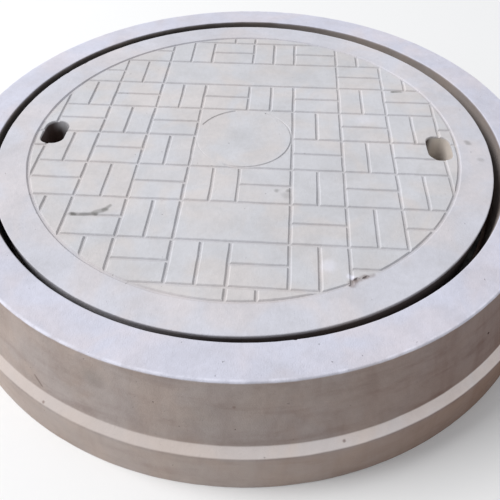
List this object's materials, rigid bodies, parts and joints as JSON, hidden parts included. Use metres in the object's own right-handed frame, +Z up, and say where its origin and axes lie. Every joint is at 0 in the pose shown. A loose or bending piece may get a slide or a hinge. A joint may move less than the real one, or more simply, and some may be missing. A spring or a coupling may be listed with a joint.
{
  "type": "manhole cover",
  "caption": "Round precast concrete manhole cover with a brick tread and lifting holes, loose in a concrete frame with a bedding ring and reinforcement.",
  "frame": {"origin": "on the frame's axis, at its underside", "axes": "+Z up along the frame's axis, +X through the two lifting holes"},
  "size_m": [0.966, 0.966, 0.172],
  "materials": {
    "cover_concrete": "pale grey cast concrete, smooth steel-mould face, faint mottling",
    "frame_concrete": "pale grey cast concrete, rougher brown-grey sides with pinholes",
    "spacer_concrete": "dark grey mortar block",
    "bar_steel": "bare steel bar with thin rust",
    "lifting_steel": "bare steel bar, worn and lightly rusted",
    "gasket_rubber": "matt black rubber"
  },
  "bodies": {
    "frame": {"frame_hoop_inner": "bar_steel", "frame_hoop_outer": "bar_steel", "frame_hoop_rim": "bar_steel", "frame_hoop_seat": "bar_steel", "frame_ring": "frame_concrete", "frame_spacer_1": "spacer_concrete", "frame_spacer_2": "spacer_concrete", "frame_spacer_3": "spacer_concrete", "frame_spacer_4": "spacer_concrete", "frame_stirrup_1": "bar_steel", "frame_stirrup_2": "bar_steel", "frame_stirrup_3": "bar_steel", "frame_stirrup_4": "bar_steel", "frame_stirrup_5": "bar_steel", "frame_stirrup_6": "bar_steel", "frame_stirrup_7": "bar_steel", "frame_stirrup_8": "bar_steel"},
    "bedding": {"seat_gasket": "gasket_rubber"},
    "cover": {"cover_cross_bar_1": "bar_steel", "cover_cross_bar_2": "bar_steel", "cover_cross_bar_3": "bar_steel", "cover_cross_bar_4": "bar_steel", "cover_cross_bar_5": "bar_steel", "cover_cross_bar_6": "bar_steel", "cover_cross_bar_7": "bar_steel", "cover_edge_ring": "bar_steel", "cover_lifting_bar_left": "lifting_steel", "cover_lifting_bar_right": "lifting_steel", "cover_main_bar_1": "bar_steel", "cover_main_bar_2": "bar_steel", "cover_main_bar_3": "bar_steel", "cover_main_bar_4": "bar_steel", "cover_main_bar_5": "bar_steel", "cover_main_bar_6": "bar_steel", "cover_main_bar_7": "bar_steel", "cover_main_bar_8": "bar_steel", "cover_slab": "cover_concrete", "cover_spacer_1": "spacer_concrete", "cover_spacer_2": "spacer_concrete", "cover_spacer_3": "spacer_concrete", "cover_spacer_4": "spacer_concrete"}
  },
  "joints": [
    {"name": "cover_turn", "type": "hinge", "parent": "frame", "child": "bedding", "pos_m": [0, 0, 0.1], "axis": [0, 0, 1], "continuous": true},
    {"name": "cover_lift", "type": "slide", "parent": "bedding", "child": "cover", "axis": [0, 0, 1], "range_m": [0, 0.25]}
  ]
}
